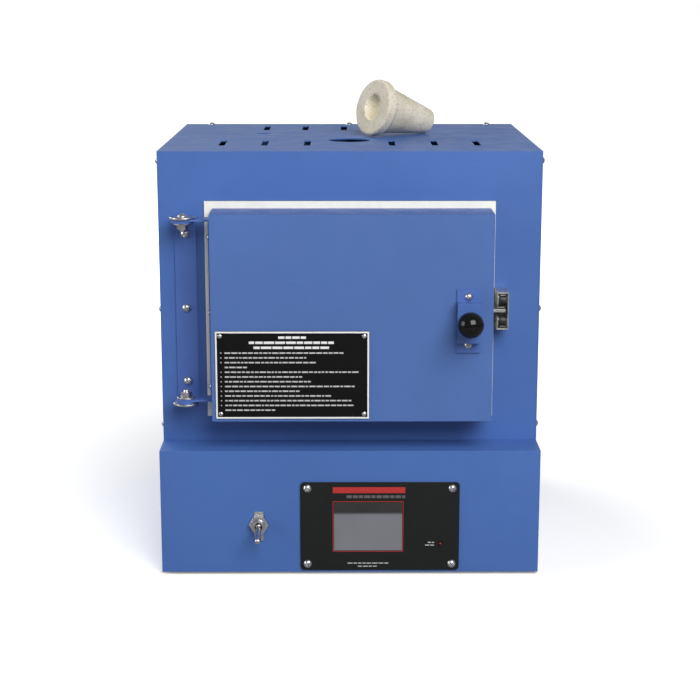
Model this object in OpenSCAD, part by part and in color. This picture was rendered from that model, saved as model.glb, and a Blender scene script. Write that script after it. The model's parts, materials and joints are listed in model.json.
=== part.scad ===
// Bench-top front-loading kiln: sheet-steel case on a control box, ceramic-fibre firing
// chamber, side-hung insulated door and a loose vent plug.
// Millimetres. X runs to the right, Y to the back, Z up. The origin is on the surface
// that the kiln stands on, under the middle of its overall length from knob to gland.

/* [Case] */
// Width across the side panels
case_w = 387.4; // [380:0.2:400]
// Depth of the upper case, front to back
case_d = 330; // [325:1:350]
// Height of the kiln from the table to the top sheet
case_h = 432; // [430:1:450]
// Height of the control box
base_h = 132.5; // [130:0.5:135]
// How far the control box stands out in front of the upper case
base_step = 42; // [38:1:50]
// Thickness of the case sheet
sheet_t = 1.5; // [1.2:0.1:1.8]
// Height of the rubber feet
foot_h = 3; // [2:0.5:4]

/* [Firing chamber] */
// Inside width of the firing chamber
chamber_w = 203.2; // [190:0.1:204]
// Inside height of the firing chamber
chamber_h = 146; // [138:1:148]
// Inside depth of the firing chamber
chamber_d = 197; // [185:1:200]
// Thickness of the side walls of the fibre muffle
wall_side = 45.4; // [42:0.1:46]
// Thickness of the floor and roof of the fibre muffle
wall_top = 38.5; // [36:0.5:40]
// Diameter of the vent bore through the muffle roof
vent_bore_d = 31; // [30:0.5:34]

/* [Door] */
// Width of the door pan
door_w = 280.8; // [270:0.2:282]
// Height of the door pan
door_h = 209; // [200:1:215]
// Thickness of the door, front to back
door_t = 48; // [44:1:50]
// Distance of the hinge axis from the kiln's centre line
hinge_x = 166.5; // [165:0.1:168]
// Distance of the hinge axis in front of the case front
hinge_y = 26; // [24:1:28]
// Diameter of the hinge bolts
bolt_d = 6; // [5:0.5:7]

/* [Knob] */
// Diameter of the ball knob
knob_d = 26; // [22:1:30]
// Stand-off of the knob's bridge bracket
bridge_gap = 12; // [10:1:16]

/* [Control panel] */
// Width of the black panel overlay
overlay_w = 162.8; // [155:0.1:165]
// Height of the black panel overlay
overlay_h = 94; // [90:1:96]
// Width of the touch screen
screen_w = 70.2; // [60:0.1:75]
// Height of the touch screen
screen_h = 52; // [45:1:56]
// Angle of the toggle lever below level when it is off
toggle_angle = 25; // [18:1:26]

/* [Vent plug] */
// Diameter of the plug's flange
plug_flange_d = 62; // [58:1:66]
// Overall length of the plug
plug_len = 78; // [70:1:82]
// Turn of the loose plug on the case top, from the X axis
plug_turn = 35; // [20:1:60]

/* [Hidden] */
$fn = 48;
eps = 0.5;

// Case planes
half_w = case_w / 2;
rim_proud = 2;
door_gap = 1;
knob_neck = 4.5;
bridge_t = 2;
gland_reach = 21;
knob_reach = rim_proud + door_gap + door_t + bridge_gap + bridge_t + knob_neck + knob_d - base_step;
y_back = (case_d + base_step + knob_reach - gland_reach) / 2;
y_base = y_back - case_d - base_step;
y_mid = (y_base + y_back) / 2;
y_case = y_base + base_step;
y_panel = y_back - sheet_t;
z_ledge = base_h;
z_top = case_h;

// Firing chamber and muffle
chamber_z = 270.5;
muffle_w = chamber_w + 2 * wall_side;
muffle_h = chamber_h + 2 * wall_top;
muffle_z0 = chamber_z - muffle_h / 2;
muffle_z1 = chamber_z + muffle_h / 2;
y_rim = y_case - rim_proud;
y_chamber_end = y_rim + chamber_d;
muffle_back_t = 48;
y_muffle_end = y_chamber_end + muffle_back_t;
blanket_t = 8;
y_blanket_end = y_muffle_end + blanket_t;
vent_y = y_case + 122;
vent_hole_d = 45.5;
deck_top = muffle_z0 - blanket_t;
deck_w = 300;
clamp_y = y_blanket_end + 0.2;

// Heating elements: one winding in each side wall
element_rows = 6;
element_pitch = 22;
element_r = 3;
element_x = chamber_w / 2 + 2;
element_z0 = chamber_z - element_pitch * (element_rows - 1) / 2;
element_z1 = chamber_z + element_pitch * (element_rows - 1) / 2;
element_y0 = y_rim + 28;
element_y1 = y_chamber_end - 15;
tail_end = y_blanket_end + 16;
tc_x = 28;
tc_z = 300;

// Door
door_x = 1.8;
door_z = chamber_z;
y_door_back = y_rim - door_gap;
y_door = y_door_back - door_t;
door_x0 = door_x - door_w / 2;
door_x1 = door_x + door_w / 2;
door_z0 = door_z - door_h / 2;
door_z1 = door_z + door_h / 2;
pan_t = 1.2;

// Hinge: a channel bracket on the case and an arm plate on the side of the door
axis_x = -hinge_x;
axis_y = y_case - hinge_y;
hinge_t = 2;
bracket_w = 22;
arm_top = 367.8;
arm_bottom = 184;
hinge_screw_z = [196, 272.5, 349];
arm_r = 11;
stack_gap = 0.1;
washer_r = 13.2;
washer_t = 2;
nut_washer_r = 9.4;
nut_washer_t = 1.5;
nut_h = 5;

// Door fittings
knob_x = 117.4;
knob_z = 271;
bridge_w = 23.4;
bridge_z0 = 237;
bridge_z1 = 301;
bridge_foot = 14;
bridge_screw_z = [bridge_z0 + 7.8, bridge_z1 - 7.5];
y_bridge = y_door - bridge_gap - bridge_t;
label_x0 = -134.6;
label_x1 = 19.2;
label_z0 = 169;
label_z1 = 258.7;
label_t = 1;

// Roller catch on the case and its strike on the door
catch_z = 274.3;
catch_x0 = muffle_w / 2 + 0.6;
catch_w = 12;
catch_h = 38;
catch_d = 28;
catch_wall = 1.2;
catch_screw_z = [for (s = [-1, 1]) catch_z + s * (catch_h / 2 - 5)];
roller_r = 5.2;
roller_offset = 10.6;
roller_y = y_case - catch_d + 7;
roller_pin_r = 1.5;
strike_r = 4.6;
strike_y = roller_y + 9;
strike_plate_h = 54;

// Control panel
y_face = y_base;
overlay_x0 = -50.9;
overlay_z0 = 5.6;
overlay_t = 1.5;
overlay_r = 4;
overlay_inset_x = 7.4;
overlay_inset_z = 6.6;
screen_x = 18.4;
screen_z = 52.5;
led_x = 92.8;
led_z = 34;
toggle_x = -93.4;
toggle_z = 55;
toggle_plate_z = 52.5;
toggle_pivot_y = y_face - 7;
toggle_pin_r = 1.2;
board_y = y_face + 14;

// Rear service panel
gland_x = 120;
gland_z = 62;
gland_bore_r = 4.5;
fuse_x = -120;
fuse_z = 62;

// Vent plug, at rest on its side on the case top
plug_flange_t = 10;
plug_neck_r = 26.5;
plug_tip_r = 13.75;
plug_hole_r = 14.3;
plug_hole_end_r = 12.5;
plug_hole_depth = 14;
plug_pitch = atan((plug_flange_d / 2 - plug_tip_r) / (plug_len - plug_flange_t));
plug_rise = plug_flange_t * sin(plug_pitch) + plug_flange_d / 2 * cos(plug_pitch);
plug_at = [25, y_mid + 16, z_top + plug_rise + 0.05];

// Vent slots and holes in the top sheet
slot_w = 7;
slot_l = 57;
slot_pitch = 44.45;
front_slot_y = y_case + 88.5;
back_slot_y = y_case + 273;
front_slots = [for (i = [-3, -2, -1, 1, 2, 3]) [i * slot_pitch, front_slot_y]];
back_slots = [for (i = [0:4]) [-95 + i * slot_pitch, back_slot_y]];
sight_hole = [-96, y_case + 202];
sight_hole_d = 16;
top_screw_x = [-163.5, 0, 163.5];
top_screw_y = y_back - 8;
side_screws = [
    [y_case + 8, z_top - 10],
    [y_case + 8, chamber_z],
    [y_case + 8, z_ledge + 16],
    [y_panel - 7, z_top - 30],
    [y_panel - 7, z_ledge + 16]
];
back_screws = [for (sx = [-1, 1], z = [z_ledge + 90, z_top - 90]) [sx * (half_w - 10), z]];
base_side_screws = [[y_base + 30, 12], [y_mid, 12], [y_back - 30, 12]];
service_screws = [for (sx = [-1, 1], z = [30, 105]) [sx * (half_w - 10), z]];
foot_at = [for (sx = [-1, 1], sy = [-1, 1]) [sx * 150, y_mid + sy * 140]];
deck_screws = [for (sx = [-1, 1], y = [34, 234]) [sx * (deck_w / 2 + 7), y_case + y]];
clamp_screws = [for (sx = [-1, 1]) [sx * 110, clamp_y + 8]];
y_deck_end = clamp_y + 20.5;
bottom_z = foot_h;

// Screw sizes: [shank radius, head radius, head height]
M3 = [1.5, 3.2, 2];
M4 = [2, 4, 2.6];
M5 = [2.5, 4.8, 3];
PANEL_SCREW = [2, 4.5, 2.8];
fit = 0.1;

// ---- Shared shapes ----

// A box between two corners
module block(lo, hi) {
    translate(lo) cube([hi[0] - lo[0], hi[1] - lo[1], hi[2] - lo[2]]);
}

// Turn a shape that points up so that it points to the front, back, left or right
module facing(side) {
    turn = side == "front" ? [90, 0, 0]
         : side == "back" ? [-90, 0, 0]
         : side == "left" ? [0, -90, 0]
         : side == "right" ? [0, 90, 0]
         : side == "down" ? [180, 0, 0]
         : [0, 0, 0];
    rotate(turn) children();
}

// Pan-head screw standing on the plane z = 0, its shank below
module pan_screw(size, shank_l) {
    dome_r = (size[1] * size[1] + size[2] * size[2]) / (2 * size[2]);
    difference() {
        union() {
            translate([0, 0, -shank_l]) cylinder(r = size[0], h = shank_l + eps);
            intersection() {
                translate([0, 0, size[2] - dome_r]) sphere(r = dome_r);
                cylinder(r = size[1], h = size[2] + eps);
            }
        }
        for (a = [45, 135]) {
            rotate([0, 0, a])
                translate([-size[1] * 0.55, -size[1] * 0.09, size[2] * 0.45])
                    cube([size[1] * 1.1, size[1] * 0.18, size[2]]);
        }
    }
}

// Clearance hole for a screw, through the plane z = 0
module screw_hole(size, depth = 4) {
    translate([0, 0, -depth]) cylinder(r = size[0] + fit, h = 2 * depth);
}

// Hexagon nut or bolt head: width across flats, height and bore
module hex_ring(flats, h, bore_r = 0) {
    difference() {
        cylinder(d = flats / cos(30), h = h, $fn = 6);
        if (bore_r > 0) translate([0, 0, -eps]) cylinder(r = bore_r, h = h + 2 * eps);
    }
}

// Flat washer standing on z = 0
module washer(r, h, bore_r) {
    difference() {
        cylinder(r = r, h = h);
        translate([0, 0, -eps]) cylinder(r = bore_r, h = h + 2 * eps);
    }
}

// Plate with rounded corners, lying in the X-Z plane, its back on y = 0
module rounded_plate(w, h, t, r) {
    rotate([90, 0, 0])
        linear_extrude(t)
            union() {
                translate([r, 0]) square([w - 2 * r, h]);
                translate([0, r]) square([w, h - 2 * r]);
                for (x = [r, w - r], z = [r, h - r]) translate([x, z]) circle(r = r);
            }
}

// Slot with round ends through a horizontal sheet
module top_slot(at) {
    translate([at[0], at[1], z_top - 4])
        linear_extrude(8)
            union() {
                square([slot_w, slot_l - slot_w], center = true);
                for (s = [-1, 1]) translate([0, s * (slot_l - slot_w) / 2]) circle(d = slot_w);
            }
}

// ---- Upper case ----

// Front and top in one bent sheet, with flanges inside the side panels
module front_top_sheet() {
    inner = half_w - sheet_t;
    flange = 12;
    color([0.30, 0.43, 0.70])
    difference() {
        union() {
            block([-inner, y_case, z_ledge], [inner, y_case + sheet_t, z_top]);
            block([-inner, y_case, z_top - sheet_t], [inner, y_panel, z_top]);
            for (s = [0, 1]) mirror([s, 0, 0]) {
                block([inner - sheet_t, y_case, z_ledge], [inner, y_case + flange, z_top]);
                block([inner - sheet_t, y_case, z_top - 2 * flange], [inner, y_panel - 17, z_top]);
            }
        }
        block([-muffle_w / 2 - 0.3, y_case - 1, muffle_z0 - 0.3],
              [muffle_w / 2 + 0.3, y_case + 3, muffle_z1 + 0.3]);
        for (at = concat(front_slots, back_slots)) top_slot(at);
        translate([0, vent_y, z_top]) screw_hole([vent_hole_d / 2, 0, 0]);
        translate([sight_hole[0], sight_hole[1], z_top]) screw_hole([sight_hole_d / 2, 0, 0]);
        for (x = top_screw_x) translate([x, top_screw_y, z_top]) screw_hole(M4);
        for (z = hinge_screw_z) translate([axis_x, y_case, z]) facing("front") screw_hole(M5);
        for (z = catch_screw_z)
            translate([catch_x0 + catch_w / 2, y_case, z]) facing("front") screw_hole(M3);
        for (s = [0, 1]) mirror([s, 0, 0])
            for (at = side_screws) translate([half_w, at[0], at[1]]) facing("right") screw_hole(M4);
    }
}

module side_panel() {
    color([0.30, 0.43, 0.70])
    difference() {
        block([half_w - sheet_t, y_case, z_ledge], [half_w, y_panel, z_top]);
        for (at = side_screws) translate([half_w, at[0], at[1]]) facing("right") screw_hole(M4);
        for (i = [0:5])
            block([half_w - 3, y_mid - 40 + i * 22, z_ledge + 22],
                  [half_w + 1, y_mid - 33 + i * 22, z_ledge + 52]);
    }
}

module side_right() side_panel();

module side_left() mirror([1, 0, 0]) side_panel();

// Rear cover of the upper case: a tray whose flanges reach inside the case
module back_panel() {
    inner = half_w - sheet_t - 0.1;
    top_in = z_top - sheet_t - 0.1;
    color([0.28, 0.40, 0.66])
    difference() {
        union() {
            block([-half_w, y_panel, z_ledge], [half_w, y_back, z_top]);
            block([-inner, y_back - 16, top_in - sheet_t], [inner, y_back, top_in]);
            for (s = [0, 1]) mirror([s, 0, 0])
                block([inner - sheet_t, y_back - 16, z_ledge + 3], [inner, y_back, top_in]);
        }
        for (x = top_screw_x) translate([x, top_screw_y, z_top]) screw_hole(M4, 5);
        for (s = [0, 1]) mirror([s, 0, 0])
            for (at = side_screws) translate([half_w, at[0], at[1]]) facing("right") screw_hole(M4);
        for (row = [0, 1], i = [-5:5])
            block([i * 26 - 3.5, y_panel - 1, z_ledge + 30 + row * 180],
                  [i * 26 + 3.5, y_back + 1, z_ledge + 75 + row * 180]);
    }
}

// Screws of the upper case: rear edge of the top, and both sides
module case_screws() {
    color([0.72, 0.72, 0.74]) {
        for (x = top_screw_x) translate([x, top_screw_y, z_top]) pan_screw(M4, 7);
        for (s = [0, 1]) mirror([s, 0, 0])
            for (at = side_screws) translate([half_w, at[0], at[1]]) facing("right") pan_screw(M4, 6);
    }
}

// ---- Control box ----

module base_shell() {
    inner = half_w - sheet_t;
    color([0.29, 0.40, 0.67])
    difference() {
        block([-half_w, y_base, foot_h], [half_w, y_panel, z_ledge]);
        block([-inner, y_base + sheet_t, foot_h - 1], [inner, y_back, z_ledge - sheet_t]);
        block([-140, y_mid - 120, z_ledge - 3], [140, y_mid + 150, z_ledge + 1]);
        for (at = overlay_screw_at())
            translate([at[0], y_face, at[1]]) facing("front") screw_hole(PANEL_SCREW);
        block([screen_x - screen_w / 2 - 0.2, y_face - 1, screen_z - screen_h / 2 - 0.2],
              [screen_x + screen_w / 2 + 0.2, y_face + 3, screen_z + screen_h / 2 + 0.2]);
        translate([led_x, y_face, led_z]) facing("front") screw_hole([2.2, 0, 0]);
        translate([toggle_x, y_face, toggle_z]) facing("front") screw_hole([6, 0, 0]);
        for (at = deck_screws) translate([at[0], at[1], z_ledge]) screw_hole(M4);
        for (s = [0, 1]) mirror([s, 0, 0]) {
            for (at = base_side_screws)
                translate([half_w, at[0], at[1]]) facing("right") screw_hole(M4);
            for (i = [0:4])
                block([half_w - 3, y_mid + 20 + i * 22, 45], [half_w + 1, y_mid + 27 + i * 22, 85]);
        }
    }
}

// Rear cover of the control box, with the inlet gland and the fuse
module service_panel() {
    inner = half_w - sheet_t - 0.1;
    color([0.28, 0.40, 0.66])
    difference() {
        union() {
            block([-half_w, y_panel, foot_h], [half_w, y_back, z_ledge]);
            for (s = [0, 1]) mirror([s, 0, 0])
                block([inner - sheet_t, y_back - 16, foot_h + 16], [inner, y_back, z_ledge - 3]);
        }
        for (at = service_screws) translate([at[0], y_back, at[1]]) facing("back") screw_hole(M4);
        translate([gland_x, y_back, gland_z]) facing("back") screw_hole([8, 0, 0]);
        translate([fuse_x, y_back, fuse_z]) facing("back") screw_hole([6, 0, 0]);
        for (i = [-3:3])
            block([i * 20 - 3.5, y_panel - 1, 40], [i * 20 + 3.5, y_back + 1, 90]);
    }
}

module bottom_plate() {
    inner = half_w - sheet_t - 0.1;
    color([0.62, 0.64, 0.66])
    difference() {
        union() {
            block([-inner, y_base + sheet_t + 0.1, bottom_z], [inner, y_panel - 0.1, bottom_z + sheet_t]);
            for (s = [0, 1]) mirror([s, 0, 0])
                block([inner - sheet_t, y_base + 12, bottom_z], [inner, y_panel - 18, bottom_z + 14]);
        }
        for (at = foot_at) translate([at[0], at[1], bottom_z]) screw_hole([3, 0, 0]);
        for (s = [0, 1]) mirror([s, 0, 0])
            for (at = base_side_screws)
                translate([half_w, at[0], at[1]]) facing("right") screw_hole(M4);
        for (i = [-4:4])
            block([i * 16 - 3, y_mid - 110, bottom_z - 1], [i * 16 + 3, y_mid - 60, bottom_z + 3]);
    }
}

// Screws of the control box, its service panel, the deck and the rear clamp
module base_screws() {
    color([0.72, 0.72, 0.74]) {
        for (s = [0, 1]) mirror([s, 0, 0])
            for (at = base_side_screws)
                translate([half_w, at[0], at[1]]) facing("right") pan_screw(M4, 6);
        for (at = service_screws) translate([at[0], y_back, at[1]]) facing("back") pan_screw(M4, 6);
        for (at = deck_screws) translate([at[0], at[1], z_ledge + sheet_t]) pan_screw(M4, 6);
        for (at = clamp_screws) translate([at[0], at[1], deck_top + sheet_t]) pan_screw(M4, 6);
    }
}

// Four rubber feet, each with a stem and a collar above the bottom plate
module feet() {
    color([0.08, 0.08, 0.08])
    for (at = foot_at)
        translate([at[0], at[1], 0]) {
            cylinder(r1 = 8.4, r2 = 9, h = bottom_z);
            cylinder(r = 3, h = bottom_z + sheet_t + 1);
            translate([0, 0, bottom_z + sheet_t]) cylinder(r = 5, h = 2);
        }
}

// ---- Firing chamber and its support ----

// Hat-section tray that carries the muffle above the control box
module deck() {
    inner = deck_w / 2;
    y0 = y_case + sheet_t + 0.1;
    color([0.66, 0.67, 0.69])
    difference() {
        union() {
            block([-inner, y0, deck_top - sheet_t], [inner, y_deck_end, deck_top]);
            for (s = [0, 1]) mirror([s, 0, 0]) {
                block([inner - sheet_t, y0, z_ledge], [inner, y_deck_end, deck_top]);
                block([inner - sheet_t, y0, z_ledge], [inner + 14, y_deck_end, z_ledge + sheet_t]);
            }
        }
        for (at = deck_screws) translate([at[0], at[1], z_ledge]) screw_hole(M4);
        for (at = clamp_screws) translate([at[0], at[1], deck_top]) screw_hole(M4);
    }
}

// Soft fibre blanket wrapped round the muffle, open at the front
module blanket() {
    out = muffle_w / 2 + blanket_t;
    color([0.93, 0.92, 0.88])
    difference() {
        block([-out, y_case + sheet_t + 4, deck_top + 0.05],
              [out, y_blanket_end, muffle_z1 + blanket_t]);
        block([-muffle_w / 2, y_case, muffle_z0], [muffle_w / 2, y_muffle_end, muffle_z1]);
        translate([0, vent_y, muffle_z1 + 4]) cylinder(r = 22, h = 20, center = true);
        rear_bores(1);
    }
}

// Bores through the rear insulation for the element tails and the thermocouple
module rear_bores(gap) {
    for (sx = [-1, 1], z = [element_z0, element_z1])
        translate([sx * element_x, y_chamber_end - 1, z])
            facing("back") cylinder(r = element_r + gap, h = 90);
    translate([tc_x, y_chamber_end - 1, tc_z]) facing("back") cylinder(r = 3.5 + gap, h = 90);
}

// One-piece fibre tube: floor, roof and side walls, grooved for the windings
module muffle() {
    groove_r = element_r + 1;
    color([0.94, 0.93, 0.90])
    difference() {
        block([-muffle_w / 2, y_rim, muffle_z0], [muffle_w / 2, y_chamber_end, muffle_z1]);
        block([-chamber_w / 2, y_rim - 1, chamber_z - chamber_h / 2],
              [chamber_w / 2, y_chamber_end + 1, chamber_z + chamber_h / 2]);
        translate([0, vent_y, chamber_z]) cylinder(d = vent_bore_d, h = muffle_h);
        for (sx = [-1, 1], i = [0 : element_rows - 1])
            translate([sx * element_x, element_y0 - 15, element_z0 + i * element_pitch])
                facing("back") cylinder(r = groove_r, h = chamber_d);
        for (s = [0, 1]) mirror([s, 0, 0])
            block([chamber_w / 2 - 1, element_y0 - 15, element_z0 - 4],
                  [element_x + groove_r, element_y0, element_z1 + 4]);
        for (s = [0, 1]) mirror([s, 0, 0])
            block([chamber_w / 2 - 1, element_y1, element_z0 - 4],
                  [element_x + groove_r, y_chamber_end + 1, element_z1 + 4]);
    }
}

module muffle_back() {
    color([0.93, 0.92, 0.89])
    difference() {
        block([-muffle_w / 2, y_chamber_end, muffle_z0], [muffle_w / 2, y_muffle_end, muffle_z1]);
        rear_bores(0.4);
    }
}

// Steel plate that holds the rear insulation against the muffle
module rear_clamp() {
    color([0.66, 0.67, 0.69])
    difference() {
        union() {
            block([-deck_w / 2, clamp_y, deck_top], [deck_w / 2, clamp_y + sheet_t, muffle_z1 + 6]);
            block([-deck_w / 2, clamp_y, deck_top], [deck_w / 2, clamp_y + 16, deck_top + sheet_t]);
        }
        for (at = clamp_screws) translate([at[0], at[1], deck_top]) screw_hole(M4);
        rear_bores(3);
    }
}

// One serpentine winding: level rods joined by half-round bends, both tails to the rear
module winding() {
    length = element_y1 - element_y0;
    bend = element_pitch / 2;
    for (i = [0 : element_rows - 1])
        translate([0, element_y0, element_z0 + i * element_pitch])
            facing("back") cylinder(r = element_r, h = length);
    for (i = [0 : element_rows - 2]) {
        front = i % 2 == 0;
        translate([0, front ? element_y0 : element_y1, element_z0 + (i + 0.5) * element_pitch])
            rotate([0, 90, 0])
                rotate_extrude(angle = 180, start = front ? 180 : 0)
                    translate([bend, 0]) circle(r = element_r);
    }
    for (z = [element_z0, element_z1])
        translate([0, element_y1 - 0.01, z])
            facing("back") cylinder(r = element_r, h = tail_end - element_y1);
}

module heating_elements() {
    color([0.55, 0.50, 0.45])
    for (sx = [-1, 1]) translate([sx * element_x, 0, 0]) winding();
}

// Brass connectors on the element tails, each with a clamp screw
module element_connectors() {
    color([0.78, 0.62, 0.28])
    for (sx = [-1, 1], z = [element_z0, element_z1])
        translate([sx * element_x, tail_end - 9, z])
            difference() {
                union() {
                    facing("back") cylinder(r = 6, h = 18);
                    translate([0, 9, 0]) cylinder(r = 2, h = 9);
                }
                translate([0, -1, 0]) facing("back") cylinder(r = element_r + 0.05, h = 10.05);
            }
}

module thermocouple() {
    color([0.90, 0.88, 0.82])
    translate([tc_x, 0, tc_z])
        union() {
            translate([0, y_chamber_end - 24, 0]) facing("back") cylinder(r = 3.4, h = 96);
            translate([0, y_chamber_end - 24, 0]) sphere(r = 3.4);
            block([-11, y_blanket_end + 12, -8], [11, y_blanket_end + 30, 8]);
            for (s = [-1, 1])
                translate([s * 6, y_blanket_end + 30, 0]) facing("back") cylinder(r = 2.5, h = 4);
        }
}

// ---- Hinge ----

// Channel on the case front, with a tab at each end for a hinge bolt
module hinge_bracket() {
    color([0.27, 0.38, 0.66])
    difference() {
        union() {
            block([axis_x - bracket_w / 2, y_case - hinge_t, arm_bottom - 2 * hinge_t - stack_gap],
                  [axis_x + bracket_w / 2, y_case, arm_top - hinge_t - stack_gap]);
            for (z = [arm_top, arm_bottom])
                translate([axis_x, 0, z - 2 * hinge_t - stack_gap]) {
                    block([-bracket_w / 2, axis_y, 0], [bracket_w / 2, y_case, hinge_t]);
                    translate([0, axis_y, 0]) cylinder(r = bracket_w / 2, h = hinge_t);
                }
        }
        translate([axis_x, axis_y, 100]) cylinder(d = bolt_d + 0.1, h = 300);
        for (z = hinge_screw_z)
            translate([axis_x, y_case - hinge_t, z]) facing("front") screw_hole(M5);
    }
}

module hinge_screws() {
    color([0.78, 0.78, 0.80])
    for (z = hinge_screw_z)
        translate([axis_x, y_case - hinge_t, z]) facing("front") pan_screw(M5, 8);
}

// Heights of the hinge stacks: the door arm lies on the bracket's tab at each end
washer_top_z = arm_top + stack_gap;
nut_top_z = arm_top - 2 * hinge_t - stack_gap;
washer_bottom_z = arm_bottom - 2 * hinge_t - stack_gap - washer_t;
nut_bottom_z = arm_bottom + stack_gap;

// Upper bolt with its head above, lower bolt with its head below
module hinge_bolts() {
    past_nut = nut_washer_t + nut_h + 2.5;
    bolt = [bolt_d / 2, 5.2, 3.2];
    color([0.74, 0.74, 0.76])
    translate([axis_x, axis_y, 0]) {
        translate([0, 0, washer_top_z + washer_t])
            pan_screw(bolt, washer_top_z + washer_t - nut_top_z + past_nut);
        translate([0, 0, washer_bottom_z])
            facing("down") pan_screw(bolt, nut_bottom_z - washer_bottom_z + past_nut);
    }
}

module hinge_nuts() {
    color([0.76, 0.76, 0.78])
    translate([axis_x, axis_y, 0]) {
        translate([0, 0, nut_top_z - nut_washer_t - nut_h]) hex_ring(10, nut_h, bolt_d / 2 + 0.05);
        translate([0, 0, nut_bottom_z + nut_washer_t]) hex_ring(10, nut_h, bolt_d / 2 + 0.05);
    }
}

// A broad washer under each bolt head and a small one under each nut
module hinge_washers() {
    bore_r = bolt_d / 2 + 0.1;
    color([0.70, 0.70, 0.72])
    translate([axis_x, axis_y, 0]) {
        for (z = [washer_top_z, washer_bottom_z])
            translate([0, 0, z]) washer(washer_r, washer_t, bore_r);
        for (z = [nut_top_z - nut_washer_t, nut_bottom_z])
            translate([0, 0, z]) washer(nut_washer_r, nut_washer_t, bore_r);
    }
}

// ---- Roller catch ----

module catch_housing() {
    y0 = y_case - catch_d;
    z0 = catch_z - catch_h / 2;
    z1 = catch_z + catch_h / 2;
    color([0.78, 0.78, 0.79])
    difference() {
        block([catch_x0, y0, z0], [catch_x0 + catch_w, y_case, z1]);
        block([catch_x0 + catch_wall, y0 - 1, z0 + catch_wall],
              [catch_x0 + catch_w - catch_wall, y_case - 2, z1 - catch_wall]);
        block([catch_x0 - 1, y0 - 1, catch_z - strike_r - 1],
              [catch_x0 + catch_wall + 1, y_case - 4, catch_z + strike_r + 1]);
        for (z = catch_screw_z)
            translate([catch_x0 + catch_w / 2, y_case - 2, z]) facing("front") screw_hole(M3);
    }
}

module catch_screws() {
    color([0.72, 0.72, 0.74])
    for (z = catch_screw_z)
        translate([catch_x0 + catch_w / 2, y_case - 2, z]) facing("front") pan_screw(M3, 6);
}

// Bowed leaf spring between the housing and a roller carriage
module leaf_spring() {
    rise = 2.2;
    span = 9;
    bow_r = (span * span / 4 + rise * rise) / (2 * rise);
    leaf_t = 0.5;
    translate([catch_x0 + 3, roller_y, 0])
        rotate([90, 0, 90])
            linear_extrude(catch_w - 6)
                intersection() {
                    translate([0, rise - bow_r])
                        difference() {
                            circle(r = bow_r);
                            circle(r = bow_r - leaf_t);
                        }
                    translate([-span / 2, -0.1]) square([span, rise + 0.2]);
                }
}

spring_z = catch_h / 2 - catch_wall - 2.2;

module spring_upper() {
    color([0.60, 0.61, 0.63]) translate([0, 0, catch_z + spring_z]) leaf_spring();
}

module spring_lower() {
    color([0.60, 0.61, 0.63])
    translate([0, 0, catch_z - spring_z]) mirror([0, 0, 1]) leaf_spring();
}

// Fork that slides in the housing and carries the roller's pin; up is +1, down is -1
module roller_carriage() {
    x0 = catch_x0 + catch_wall + 0.2;
    x1 = catch_x0 + catch_w - catch_wall - 0.2;
    cheek = 0.8;
    top = spring_z - roller_offset - 0.25;
    translate([0, roller_y, roller_offset])
        union() {
            block([x0, -4.5, roller_r + 0.35], [x1, 4.5, top]);
            block([x0, -4, -3], [x0 + cheek, 4, top - 0.2]);
            block([x1 - cheek, -4, -3], [x1, 4, top - 0.2]);
            translate([x0 + 0.2, 0, 0])
                facing("right") cylinder(r = roller_pin_r, h = x1 - x0 - 0.4);
        }
}

module carriage_upper() {
    color([0.66, 0.66, 0.68]) translate([0, 0, catch_z]) roller_carriage();
}

module carriage_lower() {
    color([0.66, 0.66, 0.68]) translate([0, 0, catch_z]) mirror([0, 0, 1]) roller_carriage();
}

module roller(z) {
    x0 = catch_x0 + catch_wall + 1.2;
    x1 = catch_x0 + catch_w - catch_wall - 1.2;
    color([0.16, 0.16, 0.17])
    translate([x0, roller_y, z])
        facing("right") washer(roller_r, x1 - x0, roller_pin_r + 0.06);
}

module roller_upper() roller(catch_z + roller_offset);

module roller_lower() roller(catch_z - roller_offset);

// Strike: a plate on the side of the door with a round-headed tongue
module strike() {
    color([0.74, 0.74, 0.76])
    difference() {
        union() {
            block([door_x1, strike_y - 16, catch_z - strike_plate_h / 2],
                  [door_x1 + 1.6, y_door_back - 4, catch_z + strike_plate_h / 2]);
            block([door_x1, strike_y - 14, catch_z - 1.5],
                  [catch_x0 + catch_w - 3, strike_y, catch_z + 1.5]);
            translate([catch_x0 + catch_wall + 0.8, strike_y, catch_z])
                facing("right") cylinder(r = strike_r, h = catch_w - 2 * catch_wall - 2.6);
        }
        for (at = strike_screw_at())
            translate([door_x1 + 1.6, at[0], at[1]]) facing("right") screw_hole(M3);
    }
}

function strike_screw_at() =
    [for (s = [-1, 1]) [strike_y - 6, catch_z + s * (strike_plate_h / 2 - 5)]];

module strike_screws() {
    color([0.72, 0.72, 0.74])
    for (at = strike_screw_at())
        translate([door_x1 + 1.6, at[0], at[1]]) facing("right") pan_screw([1.5, 2.6, 1.2], 6);
}

// ---- Control panel ----

function overlay_screw_at() = [
    for (x = [overlay_x0 + overlay_inset_x, overlay_x0 + overlay_w - overlay_inset_x],
         z = [overlay_z0 + overlay_inset_z, overlay_z0 + overlay_h - overlay_inset_z]) [x, z]
];

module panel_overlay() {
    color([0.13, 0.13, 0.13])
    difference() {
        translate([overlay_x0, y_face, overlay_z0])
            rounded_plate(overlay_w, overlay_h, overlay_t, overlay_r);
        block([screen_x - screen_w / 2 - 0.1, y_face - 3, screen_z - screen_h / 2 - 0.1],
              [screen_x + screen_w / 2 + 0.1, y_face + 1, screen_z + screen_h / 2 + 0.1]);
        for (at = overlay_screw_at())
            translate([at[0], y_face, at[1]]) facing("front") screw_hole(PANEL_SCREW);
        translate([led_x, y_face, led_z]) facing("front") screw_hole([2.2, 0, 0]);
    }
}

module overlay_screws() {
    color([0.70, 0.72, 0.72])
    for (at = overlay_screw_at())
        translate([at[0], y_face - overlay_t, at[1]]) facing("front") pan_screw(PANEL_SCREW, 9);
}

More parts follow.
